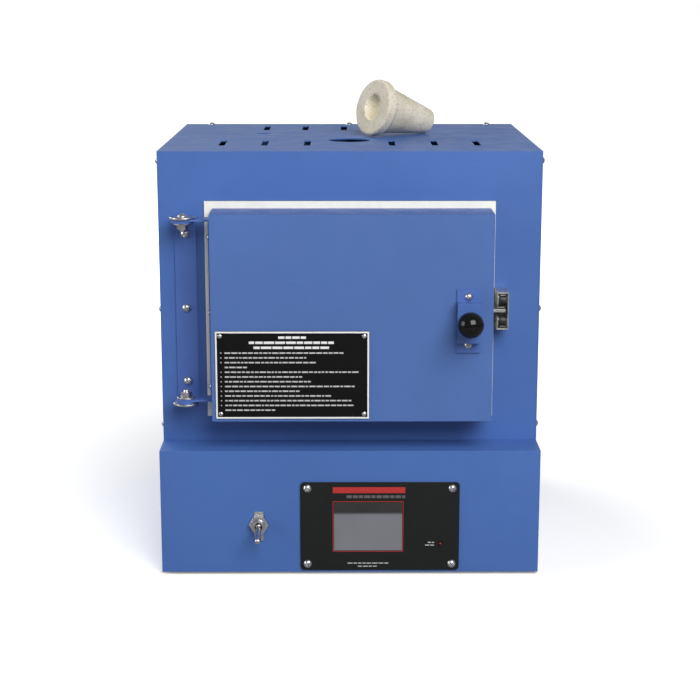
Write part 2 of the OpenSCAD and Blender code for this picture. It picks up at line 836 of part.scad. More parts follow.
module touch_screen() {
    color([0.49, 0.50, 0.52])
    block([screen_x - screen_w / 2, y_face - 1.1, screen_z - screen_h / 2],
          [screen_x + screen_w / 2, y_face + 1.4, screen_z + screen_h / 2]);
}

// Metal frame of the display, behind the panel
module display_module() {
    color([0.60, 0.61, 0.62])
    block([screen_x - screen_w / 2 - 4, y_face + sheet_t + 0.1, screen_z - screen_h / 2 - 4],
          [screen_x + screen_w / 2 + 4, y_face + 7, screen_z + screen_h / 2 + 4]);
}

// Circuit board with its relay, capacitors and plug sockets
module controller_board() {
    x0 = overlay_x0 + 3;
    x1 = overlay_x0 + overlay_w - 3;
    y1 = board_y + 1.6;
    color([0.10, 0.36, 0.20]) {
        difference() {
            block([x0, board_y, 9], [x1, y1, overlay_z0 + overlay_h - 3]);
            for (at = overlay_screw_at())
                translate([at[0], board_y, at[1]]) facing("front") screw_hole([1.6, 0, 0]);
        }
        block([-30, y1, 50], [-8, y1 + 18, 72]);
        block([2, y1, 55], [30, y1 + 2, 83]);
        for (i = [0:2])
            translate([45 + i * 14, y1, 74]) facing("back") cylinder(r = 5, h = 13);
        for (i = [0:3])
            block([-20 + i * 26, y1, 14], [0 + i * 26, y1 + 10, 26]);
    }
}

module board_standoffs() {
    color([0.80, 0.70, 0.40])
    for (at = overlay_screw_at())
        translate([at[0], y_face + sheet_t, at[1]])
            facing("back")
                difference() {
                    cylinder(r = 3.6, h = board_y - y_face - sheet_t);
                    translate([0, 0, -eps]) cylinder(r = PANEL_SCREW[0] + 0.05, h = 40);
                }
}

module status_led() {
    color([0.60, 0.08, 0.08])
    translate([led_x, y_face - overlay_t - 0.6, led_z])
        union() {
            sphere(r = 2);
            facing("back") cylinder(r = 2, h = 14);
        }
}

// Toggle switch: block behind the panel and threaded bushing through it
module toggle_switch() {
    color([0.70, 0.70, 0.71])
    translate([toggle_x, y_face, toggle_z])
        difference() {
            union() {
                block([-9, sheet_t, -15], [9, 26, 15]);
                for (z = [-9, 0, 9]) block([-3, 26, z - 0.5], [3, 33, z + 0.5]);
                translate([0, -10, 0]) facing("back") cylinder(r = 5.9, h = 12);
            }
            translate([0, -11, 0]) facing("back") cylinder(r = 4, h = 10);
            translate([-5.4, toggle_pivot_y - y_face, 0])
                facing("right") cylinder(r = toggle_pin_r + 0.05, h = 10.8);
        }
}

// Narrow washer plate behind the toggle's nut, widened to a ring round the bushing
module toggle_plate() {
    color([0.75, 0.75, 0.76])
    difference() {
        union() {
            block([toggle_x - 4.7, y_face - 1, toggle_plate_z - 15.5],
                  [toggle_x + 4.7, y_face, toggle_plate_z + 15.5]);
            translate([toggle_x, y_face, toggle_z]) facing("front") cylinder(r = 8.2, h = 1);
        }
        translate([toggle_x, y_face, toggle_z]) facing("front") screw_hole([5.9, 0, 0]);
    }
}

module toggle_nut() {
    color([0.72, 0.72, 0.73])
    translate([toggle_x, y_face - 1, toggle_z]) facing("front") hex_ring(17.5, 3.6, 6);
}

// Bat handle that rocks on a cross pin through its ball, inside the bushing
module toggle_lever() {
    color([0.80, 0.80, 0.81])
    translate([toggle_x, toggle_pivot_y, toggle_z])
        union() {
            sphere(r = 3.2);
            translate([-5.2, 0, 0]) facing("right") cylinder(r = toggle_pin_r, h = 10.4);
            rotate([90 + toggle_angle, 0, 0]) {
                cylinder(r1 = 2.1, r2 = 3.3, h = 22);
                translate([0, 0, 22]) sphere(r = 3.3);
            }
        }
}

// ---- Electrics in the control box ----

module relay() {
    floor_z = bottom_z + sheet_t;
    color([0.20, 0.20, 0.21])
    translate([120, y_mid - 30, floor_z])
        union() {
            block([-26, -34, 0], [26, 34, 3]);
            block([-22, -28, 3], [22, 28, 46]);
            for (x = [-14, 0, 14]) block([x - 3, -26, 46], [x + 3, -18, 54]);
            for (x = [-14, 14]) block([x - 3, 16, 46], [x + 3, 24, 54]);
        }
}

module transformer() {
    floor_z = bottom_z + sheet_t;
    color([0.36, 0.33, 0.30])
    translate([-120, y_mid - 30, floor_z])
        union() {
            block([-34, -20, 0], [34, 20, 2]);
            block([-24, -14, 2], [24, 14, 44]);
            block([-15, -23, 9], [15, 23, 37]);
        }
}

module terminal_block() {
    floor_z = bottom_z + sheet_t;
    color([0.86, 0.84, 0.78])
    translate([0, y_mid + 120, floor_z])
        union() {
            block([-48, -12, 0], [48, 12, 10]);
            for (i = [-3:3]) block([i * 15 - 1.5, -12, 10], [i * 15 + 1.5, 12, 20]);
            for (i = [-3:2], y = [-6, 6])
                translate([i * 15 + 7.5, y, 10]) cylinder(r = 3, h = 4);
        }
}

module fuse_holder() {
    color([0.10, 0.10, 0.10])
    translate([fuse_x, y_back, fuse_z])
        facing("back")
            union() {
                difference() {
                    cylinder(r = 8.5, h = 9);
                    translate([-1, -9, 7.5]) cube([2, 18, 3]);
                }
                translate([0, 0, -34]) cylinder(r = 5.9, h = 35);
            }
}

// Inlet gland for the supply cord, open right through
module cable_gland() {
    color([0.09, 0.09, 0.09])
    translate([gland_x, y_back, gland_z])
        facing("back")
            difference() {
                union() {
                    hex_ring(22, 6);
                    translate([0, 0, 6]) cylinder(r = 10.4, h = 10);
                    translate([0, 0, 16]) cylinder(r1 = 10.4, r2 = 7, h = 5);
                    translate([0, 0, -14]) cylinder(r = 7.9, h = 14.5);
                    translate([0, 0, -sheet_t - 5]) hex_ring(20, 5);
                }
                translate([0, 0, -20]) cylinder(r = gland_bore_r, h = 50);
            }
}

// Round wire through a list of points, with a slightly larger ball at each corner
module wire(points, r) {
    for (i = [0 : len(points) - 2]) {
        run = points[i + 1] - points[i];
        length = norm(run);
        translate(points[i])
            rotate([0, acos(run[2] / length), atan2(run[1], run[0])])
                cylinder(r = r, h = length, $fn = 24);
        if (i > 0) translate(points[i]) sphere(r = r + 0.5, $fn = 24);
    }
}

// Wires from the element connectors and the thermocouple down to the control box
module wiring() {
    drop_y = tail_end + 17;
    color([0.75, 0.30, 0.22])
    for (sx = [-1, 1], upper = [0, 1]) {
        z = upper == 1 ? element_z1 : element_z0;
        y = drop_y + upper * 9;
        x = sx * (element_x + upper * 8);
        wire([
            [sx * element_x, tail_end + 9.1, z],
            [x, y, z],
            [x, y, 70],
            [sx * (34 + upper * 8), y_mid + 118 + upper * 8, 34],
            [sx * (34 + upper * 8), y_mid + 118 + upper * 8, 22]
        ], 1.8);
    }
}

// ---- Door ----

// Folded pan, open at the back
module door_pan() {
    color([0.33, 0.45, 0.68])
    difference() {
        block([door_x0, y_door, door_z0], [door_x1, y_door_back, door_z1]);
        block([door_x0 + pan_t, y_door + pan_t, door_z0 + pan_t],
              [door_x1 - pan_t, y_door_back + 1, door_z1 - pan_t]);
        for (z = hinge_screw_z)
            translate([door_x0, door_screw_y(), z]) facing("left") screw_hole(M4);
        for (at = strike_screw_at())
            translate([door_x1, at[0], at[1]]) facing("right") screw_hole(M3);
        for (z = bridge_screw_z)
            translate([knob_x, y_door, z]) facing("front") screw_hole(M4);
        for (at = rivet_at()) translate([at[0], y_door, at[1]]) facing("front") screw_hole([1.2, 0, 0]);
    }
}

function door_screw_y() = y_door + 26;

// Fibre block that fills the pan, with a raised face that enters the chamber mouth
module door_insulation() {
    gap = 0.3;
    margin = 8;
    depth = 7;
    color([0.94, 0.93, 0.90])
    difference() {
        union() {
            block([door_x0 + pan_t + gap, y_door + pan_t + gap, door_z0 + pan_t + gap],
                  [door_x1 - pan_t - gap, y_rim - 0.5, door_z1 - pan_t - gap]);
            block([-chamber_w / 2 + margin, y_rim - 1, chamber_z - chamber_h / 2 + margin],
                  [chamber_w / 2 - margin, y_rim + depth, chamber_z + chamber_h / 2 - margin]);
        }
        for (z = hinge_screw_z)
            translate([door_x0, door_screw_y(), z]) facing("left") screw_hole(M4, 12);
        for (at = strike_screw_at())
            translate([door_x1, at[0], at[1]]) facing("right") screw_hole(M3, 12);
        for (z = bridge_screw_z)
            translate([knob_x, y_door, z]) facing("front") screw_hole(M4, 14);
        for (at = rivet_at()) translate([at[0], y_door, at[1]]) facing("front") screw_hole([1.4, 0, 0], 6);
    }
}

// Strip on the door's side, with an arm at each end that turns on the hinge bolt
module door_hinge_plate() {
    x1 = door_x0;
    color([0.29, 0.40, 0.67])
    difference() {
        union() {
            block([x1 - hinge_t, axis_y - 12, arm_bottom - hinge_t], [x1, y_door_back - 3, arm_top]);
            for (z = [arm_top, arm_bottom])
                translate([0, 0, z - hinge_t])
                    linear_extrude(hinge_t)
                        union() {
                            translate([axis_x, axis_y]) circle(r = arm_r);
                            polygon([
                                [axis_x + 1, axis_y - arm_r + 0.05],
                                [x1 - 1, axis_y - 6],
                                [x1 - 1, axis_y + 12],
                                [axis_x + 1, axis_y + arm_r - 0.05]
                            ]);
                        }
        }
        translate([axis_x, axis_y, 100]) cylinder(d = bolt_d + 0.12, h = 300);
        for (z = hinge_screw_z)
            translate([x1, door_screw_y(), z]) facing("left") screw_hole(M4);
    }
}

module door_hinge_screws() {
    color([0.72, 0.72, 0.74])
    for (z = hinge_screw_z)
        translate([door_x0 - hinge_t, door_screw_y(), z]) facing("left") pan_screw(M4, 9);
}

// Bridge bracket: two feet on the door and a raised middle that carries the knob
module handle_bracket() {
    x0 = knob_x - bridge_w / 2;
    x1 = knob_x + bridge_w / 2;
    color([0.27, 0.38, 0.66])
    difference() {
        union() {
            for (z = [bridge_z0, bridge_z1 - bridge_foot])
                block([x0, y_door - bridge_t, z], [x1, y_door, z + bridge_foot]);
            for (z = [bridge_z0 + bridge_foot - bridge_t, bridge_z1 - bridge_foot])
                block([x0, y_bridge, z], [x1, y_door, z + bridge_t]);
            block([x0, y_bridge, bridge_z0 + bridge_foot - bridge_t],
                  [x1, y_bridge + bridge_t, bridge_z1 - bridge_foot + bridge_t]);
        }
        for (z = bridge_screw_z)
            translate([knob_x, y_door - bridge_t, z]) facing("front") screw_hole(M4);
        translate([knob_x, y_bridge, knob_z]) facing("front") screw_hole([3, 0, 0]);
    }
}

module handle_screws() {
    color([0.74, 0.74, 0.76])
    for (z = bridge_screw_z)
        translate([knob_x, y_door - bridge_t, z]) facing("front") pan_screw(M4, 9);
}

// Ball knob with a short neck, its stud and nut behind the bracket
module knob() {
    color([0.05, 0.05, 0.05])
    translate([knob_x, y_bridge, knob_z])
        facing("front")
            union() {
                translate([0, 0, knob_neck + knob_d / 2]) sphere(d = knob_d, $fn = 64);
                cylinder(r1 = 7, r2 = 5.5, h = 7);
                translate([0, 0, -8]) cylinder(r = 3, h = 9);
                translate([0, 0, -bridge_t - 4]) hex_ring(10, 4);
            }
}

function rivet_at() = [
    for (x = [label_x0 + 5, label_x1 - 5], z = [label_z0 + 5, label_z1 - 5]) [x, z]
];

module label_plate() {
    color([0.06, 0.06, 0.07])
    difference() {
        block([label_x0, y_door - label_t, label_z0], [label_x1, y_door, label_z1]);
        for (at = rivet_at()) translate([at[0], y_door, at[1]]) facing("front") screw_hole([1.2, 0, 0]);
    }
}

module label_rivets() {
    color([0.80, 0.80, 0.80])
    for (at = rivet_at())
        translate([at[0], y_door - label_t, at[1]]) facing("front") rivet();
}

module rivet() {
    head_r = 2.4;
    head_h = 1;
    dome_r = (head_r * head_r + head_h * head_h) / (2 * head_h);
    union() {
        translate([0, 0, -4]) cylinder(r = 1.2, h = 4.5);
        intersection() {
            translate([0, 0, head_h - dome_r]) sphere(r = dome_r);
            cylinder(r = head_r, h = 2);
        }
    }
}

// ---- Vent plug ----

// Tapered refractory plug with a flange and a blind tapered hole, modelled along +X
module plug_profile() {
    flange_r = plug_flange_d / 2;
    rotate([0, 90, 0])
        rotate_extrude($fn = 64)
            polygon([
                [0, plug_hole_depth],
                [plug_hole_end_r, plug_hole_depth],
                [plug_hole_r, 0],
                [flange_r - 3, 0],
                [flange_r, 3],
                [flange_r, plug_flange_t],
                [plug_neck_r, plug_flange_t + 3],
                [plug_tip_r, plug_len - 2],
                [plug_tip_r - 2, plug_len],
                [0, plug_len]
            ]);
}

module vent_plug() {
    color([0.86, 0.84, 0.77])
    translate(plug_at)
        rotate([0, 0, plug_turn])
            rotate([0, plug_pitch, 0])
                plug_profile();
}

// ---- Output ----

front_top_sheet();
side_left();
side_right();
back_panel();
case_screws();
base_shell();
service_panel();
bottom_plate();
base_screws();
feet();
deck();
blanket();
muffle();
muffle_back();
rear_clamp();
heating_elements();
element_connectors();
thermocouple();
hinge_bracket();
hinge_screws();
hinge_bolts();
hinge_nuts();
hinge_washers();
catch_housing();
catch_screws();
spring_upper();
spring_lower();
carriage_upper();
carriage_lower();
roller_upper();
roller_lower();
panel_overlay();
overlay_screws();
touch_screen();
display_module();
controller_board();
board_standoffs();
status_led();
toggle_switch();
toggle_plate();
toggle_nut();
toggle_lever();
relay();
transformer();
terminal_block();
fuse_holder();
cable_gland();
wiring();
door_pan();
door_insulation();
door_hinge_plate();
door_hinge_screws();
handle_bracket();
handle_screws();
knob();
strike();
strike_screws();
label_plate();
label_rivets();
vent_plug();
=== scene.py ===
"""Bench-top pottery kiln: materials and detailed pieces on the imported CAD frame."""
import json
import math
import random

import bmesh
import bpy
from mathutils import Euler, Matrix, Vector, noise


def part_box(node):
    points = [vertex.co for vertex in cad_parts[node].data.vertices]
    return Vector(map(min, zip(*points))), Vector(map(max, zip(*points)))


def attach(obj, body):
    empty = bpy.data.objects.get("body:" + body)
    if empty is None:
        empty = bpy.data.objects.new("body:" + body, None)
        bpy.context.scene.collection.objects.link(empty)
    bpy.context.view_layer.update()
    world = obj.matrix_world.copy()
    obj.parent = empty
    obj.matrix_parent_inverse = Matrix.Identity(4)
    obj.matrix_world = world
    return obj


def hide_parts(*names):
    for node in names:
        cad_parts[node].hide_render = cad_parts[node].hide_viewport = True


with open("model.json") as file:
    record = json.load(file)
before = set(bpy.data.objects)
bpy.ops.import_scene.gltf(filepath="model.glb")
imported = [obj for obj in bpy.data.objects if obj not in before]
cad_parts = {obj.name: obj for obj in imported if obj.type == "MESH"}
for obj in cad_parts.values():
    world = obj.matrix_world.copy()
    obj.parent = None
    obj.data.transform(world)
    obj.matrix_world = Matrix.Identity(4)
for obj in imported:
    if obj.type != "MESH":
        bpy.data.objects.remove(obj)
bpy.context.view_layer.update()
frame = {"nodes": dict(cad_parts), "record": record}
NODES = frame["nodes"]
MM = 0.001


# ---- Colours and node materials ----


def srgb(red, green, blue):
    """A colour given as 0 to 255 display values, as linear RGBA."""
    linear = [
        v / 12.92 if v <= 0.04045 else ((v + 0.055) / 1.055) ** 2.4
        for v in (red / 255, green / 255, blue / 255)
    ]
    return (*linear, 1.0)


class Surface:
    """A node material on the Principled shader, with short calls for its usual nodes."""

    def __init__(self, name, **sockets):
        self.material = bpy.data.materials.new(name)
        self.material.use_nodes = True
        self.tree = self.material.node_tree
        self.shader = self.tree.nodes["Principled BSDF"]
        for socket, value in sockets.items():
            self.shader.inputs[socket.replace("_", " ")].default_value = value
        coordinates = self.tree.nodes.new("ShaderNodeTexCoord")
        self.object_space = coordinates.outputs["Object"]
        self.normal = None

    def set(self, socket, value):
        self.shader.inputs[socket].default_value = value
        return self

    def join(self, source, socket):
        self.tree.links.new(source, self.shader.inputs[socket])

    def stretched(self, scale):
        """Object coordinates in metres, scaled along each axis."""
        mapping = self.tree.nodes.new("ShaderNodeMapping")
        mapping.inputs["Scale"].default_value = scale
        self.tree.links.new(self.object_space, mapping.inputs["Vector"])
        return mapping.outputs["Vector"]

    def noise(self, scale, detail=3.0, roughness=0.55, stretch=None, distortion=0.0):
        texture = self.tree.nodes.new("ShaderNodeTexNoise")
        texture.inputs["Scale"].default_value = scale
        texture.inputs["Detail"].default_value = detail
        texture.inputs["Roughness"].default_value = roughness
        texture.inputs["Distortion"].default_value = distortion
        vector = self.stretched(stretch) if stretch else self.object_space
        self.tree.links.new(vector, texture.inputs["Vector"])
        return texture.outputs["Fac"]

    def cells(self, scale, output="Distance"):
        texture = self.tree.nodes.new("ShaderNodeTexVoronoi")
        texture.inputs["Scale"].default_value = scale
        self.tree.links.new(self.object_space, texture.inputs["Vector"])
        return texture.outputs[output]

    def ramp(self, factor, stops):
        """A colour ramp: stops are (position, colour) pairs, a colour being a grey or an RGBA."""
        node = self.tree.nodes.new("ShaderNodeValToRGB")
        elements = node.color_ramp.elements
        while len(elements) < len(stops):
            elements.new(0.5)
        for element, (position, colour) in zip(elements, stops):
            element.position = position
            element.color = colour if isinstance(colour, tuple) else (colour, colour, colour, 1.0)
        self.tree.links.new(factor, node.inputs["Fac"])
        return node.outputs["Color"]

    def mix(self, factor, first, second, blend="MIX"):
        """Mixes two colours; factor, first and second are sockets or plain values."""
        node = self.tree.nodes.new("ShaderNodeMix")
        node.data_type = "RGBA"
        node.blend_type = blend
        for socket, value in ((0, factor), (6, first), (7, second)):
            if isinstance(value, bpy.types.NodeSocket):
                self.tree.links.new(value, node.inputs[socket])
            else:
                node.inputs[socket].default_value = value
        return node.outputs[2]

    def bump(self, height, strength, distance):
        """Adds a bump layer on top of the layers already there."""
        node = self.tree.nodes.new("ShaderNodeBump")
        node.inputs["Strength"].default_value = strength
        node.inputs["Distance"].default_value = distance
        self.tree.links.new(height, node.inputs["Height"])
        if not self.normal:
            self.normal = self.soft_edges()
        self.tree.links.new(self.normal, node.inputs["Normal"])
        self.normal = node.outputs["Normal"]
        self.join(self.normal, "Normal")
        return self

    def soft_edges(self, radius=0.0006):
        """Shading normals that round every sharp edge slightly."""
        node = self.tree.nodes.new("ShaderNodeBevel")
        node.samples = 4
        node.inputs["Radius"].default_value = radius
        return node.outputs["Normal"]

    def height(self):
        """The Z coordinate in metres, for marks that depend on height."""
        split = self.tree.nodes.new("ShaderNodeSeparateXYZ")
        self.tree.links.new(self.object_space, split.inputs["Vector"])
        return split.outputs["Z"]


def tone(colour, factor):
    return tuple(min(1.0, c * factor) for c in colour[:3]) + (1.0,)


def powder_coat(name, colour, roughness=0.42):
    """Fine-textured powder coat, with slight colour drift, orange peel and faint scuffs."""
    surface = Surface(name, Specular_IOR_Level=0.35)
    drift = surface.ramp(
        surface.noise(5.0, 4.0), [(0.3, tone(colour, 0.93)), (0.7, tone(colour, 1.06))]
    )
    speckle = surface.ramp(surface.noise(900.0, 2.0), [(0.35, 0.84), (0.65, 1.0)])
    grained = surface.mix(0.35, drift, speckle, "MULTIPLY")
    scuffs = surface.ramp(
        surface.noise(26.0, 8.0, 0.7, stretch=(1.0, 1.0, 5.0)), [(0.62, 0.0), (0.80, 0.22)]
    )
    surface.join(surface.mix(scuffs, grained, tone(colour, 1.5)), "Base Color")
    surface.join(
        surface.ramp(surface.noise(40.0, 5.0), [(0.3, roughness - 0.06), (0.7, roughness + 0.08)]),
        "Roughness",
    )
    surface.bump(surface.noise(420.0, 3.0, 0.6), 0.22, 0.0002)
    surface.bump(surface.noise(7.0, 2.0), 0.08, 0.0015)
    return surface.material


def sheet_steel(name):
    """Galvanised sheet with its large dull crystals."""
    surface = Surface(name, Metallic=0.9)
    crystals = surface.cells(55.0, output="Color")
    grey = surface.ramp(crystals, [(0.0, srgb(140, 144, 147)), (1.0, srgb(186, 190, 192))])
    dirt = surface.ramp(surface.noise(18.0, 6.0), [(0.4, 0.75), (0.7, 1.0)])
    surface.join(surface.mix(0.6, grey, dirt, "MULTIPLY"), "Base Color")
    surface.join(surface.ramp(crystals, [(0.0, 0.34), (1.0, 0.5)]), "Roughness")
    surface.bump(surface.noise(300.0, 3.0), 0.08, 0.0002)
    return surface.material


def bright_metal(name, colour, roughness, grain=(1.0, 1.0, 1.0)):
    """Plated or drawn metal, with fine grain along one direction and light tarnish."""
    surface = Surface(name, Metallic=1.0)
    tarnish = surface.ramp(surface.noise(120.0, 5.0), [(0.35, tone(colour, 0.72)), (0.65, colour)])
    lines = surface.ramp(surface.noise(700.0, 2.0, stretch=grain), [(0.3, 0.82), (0.7, 1.0)])
    surface.join(surface.mix(0.5, tarnish, lines, "MULTIPLY"), "Base Color")
    surface.join(
        surface.ramp(
            surface.noise(500.0, 3.0, stretch=grain), [(0.3, roughness), (0.7, roughness + 0.16)]
        ),
        "Roughness",
    )
    surface.bump(surface.noise(900.0, 2.0, stretch=grain), 0.1, 0.0001)
    return surface.material


def fibre_board(name, colour, fleck):
    """Vacuum-formed ceramic fibre: matt, felted, with a few darker shots in it."""
    surface = Surface(name, Roughness=0.95, Specular_IOR_Level=0.2)
    felt = surface.ramp(
        surface.noise(60.0, 8.0, 0.7, distortion=0.6), [(0.3, tone(colour, 0.9)), (0.7, colour)]
    )
    shots = surface.ramp(surface.cells(260.0), [(0.05, 1.0), (0.14, 0.0)])
    surface.join(surface.mix(surface.mix(0.55, (0, 0, 0, 1), shots), felt, fleck), "Base Color")
    surface.bump(surface.noise(240.0, 6.0, 0.7, distortion=0.8), 0.5, 0.0008)
    surface.bump(surface.noise(30.0, 3.0), 0.25, 0.002)
    return surface.material


def cast_refractory(name, shade=1.0):
    """Cast refractory: cream body, grey and tan grit, and small pits. A shade above 1 brightens the body
    colours, as painted light.
    """
    surface = Surface(name, Roughness=0.9, Specular_IOR_Level=0.25)
    body = surface.ramp(
        surface.noise(45.0, 6.0),
        [(0.3, tone(srgb(190, 182, 160), shade)), (0.7, tone(srgb(218, 212, 195), shade))],
    )
    grit = surface.ramp(surface.cells(240.0), [(0.10, 1.0), (0.22, 0.0)])
    sand = surface.ramp(surface.noise(420.0, 4.0, 0.7), [(0.52, 0.0), (0.66, 0.8)])
    flecked = surface.mix(grit, body, srgb(140, 137, 130))
    sandy = surface.mix(0.5, (0, 0, 0, 1), sand)
    surface.join(surface.mix(sandy, flecked, srgb(170, 160, 140)), "Base Color")
    surface.bump(surface.cells(240.0), 0.35, 0.0006)
    surface.bump(surface.noise(500.0, 5.0, 0.7), 0.45, 0.0005)
    return surface.material


def moulded(name, colour, roughness, bump=0.12, speck=0.9, specular=0.4):
    """Moulded plastic or rubber with a faint grain and a little uneven gloss."""
    surface = Surface(name, Specular_IOR_Level=specular)
    shade = surface.ramp(surface.noise(60.0, 5.0), [(0.3, tone(colour, speck)), (0.7, colour)])
    surface.join(shade, "Base Color")
    surface.join(
        surface.ramp(surface.noise(90.0, 4.0), [(0.3, roughness), (0.7, roughness + 0.08)]),
        "Roughness",
    )
    surface.bump(surface.noise(700.0, 3.0), bump, 0.0002)
    return surface.material


def panel_film(name):
    """Matt black polyester film of the panel overlay."""
    surface = Surface(name, Specular_IOR_Level=0.2)
    shade = surface.ramp(
        surface.noise(1300.0, 2.0), [(0.35, srgb(20, 22, 21)), (0.65, srgb(29, 31, 30))]
    )
    surface.join(shade, "Base Color")
    surface.join(surface.ramp(surface.noise(30.0, 4.0), [(0.3, 0.42), (0.7, 0.52)]), "Roughness")
    surface.bump(surface.noise(1500.0, 2.0), 0.15, 0.0001)
    return surface.material


def touch_glass(name, low, high):
    """Switched-off touch screen: grey panel with a darker band along its top edge, a painted reflection
    of the surroundings.
    """
    surface = Surface(name, Coat_Weight=0.6, Coat_Roughness=0.06, Roughness=0.3)
    start = high - 0.27 * (high - low)
    place = surface.tree.nodes.new("ShaderNodeMapRange")
    place.inputs["From Min"].default_value = start
    place.inputs["From Max"].default_value = start + 0.06 * (high - low)
    surface.tree.links.new(surface.height(), place.inputs["Value"])
    face = surface.ramp(
        surface.noise(20.0, 3.0), [(0.3, srgb(106, 109, 115)), (0.7, srgb(115, 117, 123))]
    )
    painted_reflection_band = surface.ramp(
        # Painted reflection: the dark band along the top edge stands in for the surroundings reflected in
        # the glass
        surface.noise(24.0, 3.0), [(0.3, srgb(27, 25, 24)), (0.7, srgb(40, 37, 36))]
    )
    surface.join(surface.mix(place.outputs["Result"], face, painted_reflection_band), "Base Color")
    surface.bump(surface.noise(12.0, 2.0), 0.03, 0.0004)
    return surface.material


def print_ink(name, colour):
    """Screen-printed ink: nearly flat, with slightly uneven cover."""
    surface = Surface(name, Roughness=0.5)
    cover = surface.ramp(surface.noise(800.0, 3.0), [(0.3, tone(colour, 0.86)), (0.7, colour)])
    surface.join(cover, "Base Color")
    surface.bump(surface.noise(900.0, 2.0), 0.1, 0.00005)
    return surface.material


# ---- Mesh helpers ----


def new_object(name, mesh, material, body):
    obj = bpy.data.objects.new(name, mesh)
    bpy.context.scene.collection.objects.link(obj)
    mesh.materials.append(material)
    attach(obj, body)
    return obj


def from_bmesh(name, mesh_data, material, body, smooth=True):
    mesh = bpy.data.meshes.new(name)
    mesh_data.to_mesh(mesh)
    mesh_data.free()
    mesh.polygons.foreach_set("use_smooth", [smooth] * len(mesh.polygons))
    return new_object(name, mesh, material, body)


def lathe(profile, matrix, steps=96, wobble=None):
    """A closed solid of revolution about local Z. profile is (radius, height) pairs from axis to axis."""
    shape = bmesh.new()
    rings = []
    for radius, height in profile:
        if radius < 1e-6:
            rings.append([shape.verts.new(matrix @ Vector((0.0, 0.0, height)))])
            continue
        ring = []
        for step in range(steps):
            turn = 2 * math.pi * step / steps
            point = Vector((radius * math.cos(turn), radius * math.sin(turn), height))
            if wobble:
                point = wobble(point)
            ring.append(shape.verts.new(matrix @ point))
        rings.append(ring)
    for low, high in zip(rings, rings[1:]):
        for step in range(steps):
            after = (step + 1) % steps
            if len(low) == 1:
                shape.faces.new((low[0], high[step], high[after]))
            elif len(high) == 1:
                shape.faces.new((low[step], high[0], low[after]))
            else:
                shape.faces.new((low[step], high[step], high[after], low[after]))
    bmesh.ops.recalc_face_normals(shape, faces=shape.faces)
    return shape


def rounded(corners, radii, arc):
    """An open polyline with each inner corner replaced by a short arc of its own radius."""
    points = [corners[0]]
    for i in range(1, len(corners) - 1):
        before, corner, after = (Vector(corners[i + k]) for k in (-1, 0, 1))
        start = corner + (before - corner).normalized() * min(radii[i], (before - corner).length / 2)
        end = corner + (after - corner).normalized() * min(radii[i], (after - corner).length / 2)
        for step in range(arc + 1):
            t = step / arc
            bend = start * (1 - t) ** 2 + corner * 2 * t * (1 - t) + end * t * t
            points.append(tuple(bend))
    points.append(corners[-1])
    return points


def add_box(shape, low, high):
    """Adds a closed box between two corners to a bmesh."""
    corners = [
        shape.verts.new((x, y, z))
        for x in (low[0], high[0]) for y in (low[1], high[1]) for z in (low[2], high[2])
    ]
    for face in ((0, 1, 3, 2), (4, 6, 7, 5), (0, 4, 5, 1), (2, 3, 7, 6), (0, 2, 6, 4), (1, 5, 7, 3)):
        shape.faces.new([corners[i] for i in face])


def soften(obj, width, segments=3, angle=32):
    """Rounds the sharp edges of a finished solid."""
    weld = obj.modifiers.new("weld", "WELD")
    weld.merge_threshold = 1e-5
    bevel = obj.modifiers.new("edges", "BEVEL")
    bevel.width = width
    bevel.segments = segments
    bevel.limit_method = "ANGLE"
    bevel.angle_limit = math.radians(angle)
    bevel.miter_outer = "MITER_ARC"
    bevel.harden_normals = True


def tube(name, points, radius, material, body, sides):
    """A round wire along an open polyline, as a curve."""
    curve = bpy.data.curves.new(name, "CURVE")
    curve.dimensions = "3D"
    curve.bevel_depth = radius
    curve.bevel_resolution = sides
    curve.use_fill_caps = True
    spline = curve.splines.new("POLY")
    spline.points.add(len(points) - 1)
    spline.points.foreach_set("co", [c for p in points for c in (*p, 1.0)])
    spline.use_smooth = True
    obj = bpy.data.objects.new(name, curve)
    bpy.context.scene.collection.objects.link(obj)
    curve.materials.append(material)
    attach(obj, body)
    return obj


def smooth_path(points, per_span=10):
    """A Catmull-Rom curve through the points."""
    knots = [Vector(p) for p in points]
    knots = [knots[0] * 2 - knots[1], *knots, knots[-1] * 2 - knots[-2]]
    path = []
    for a, b, c, d in zip(knots, knots[1:], knots[2:], knots[3:]):
        for step in range(per_span):
            t = step / per_span
            path.append(
                0.5 * ((2 * b) + (c - a) * t + (2 * a - 5 * b + 4 * c - d) * t * t
                       + (3 * b - a - 3 * c + d) * t ** 3)
            )
    path.append(knots[-2])
    return path


# ---- Materials of the kiln ----

BLUE_CASE = srgb(68, 103, 168)
BLUE_DOOR = srgb(72, 103, 163)
BLUE_BRACKET = srgb(72, 102, 168)

CASE_PAINT = powder_coat("case_paint", BLUE_CASE)
DOOR_PAINT = powder_coat("door_paint", BLUE_DOOR, 0.46)
BRACKET_PAINT = powder_coat("bracket_paint", BLUE_BRACKET, 0.38)
GALVANISED = sheet_steel("galvanised")
ZINC = bright_metal("zinc_screw", srgb(205, 205, 208), 0.22)
STEEL = bright_metal("steel", srgb(212, 210, 206), 0.24, grain=(1.0, 1.0, 6.0))
BRASS = bright_metal("brass", srgb(205, 170, 100), 0.28)
OXIDISED = bright_metal("element_wire", srgb(98, 88, 80), 0.5)
FIBRE = fibre_board("fibre", srgb(236, 234, 226), srgb(196, 190, 176))
BLANKET_FIBRE = fibre_board("blanket_fibre", srgb(240, 239, 234), srgb(214, 210, 200))
REFRACTORY = cast_refractory("refractory")
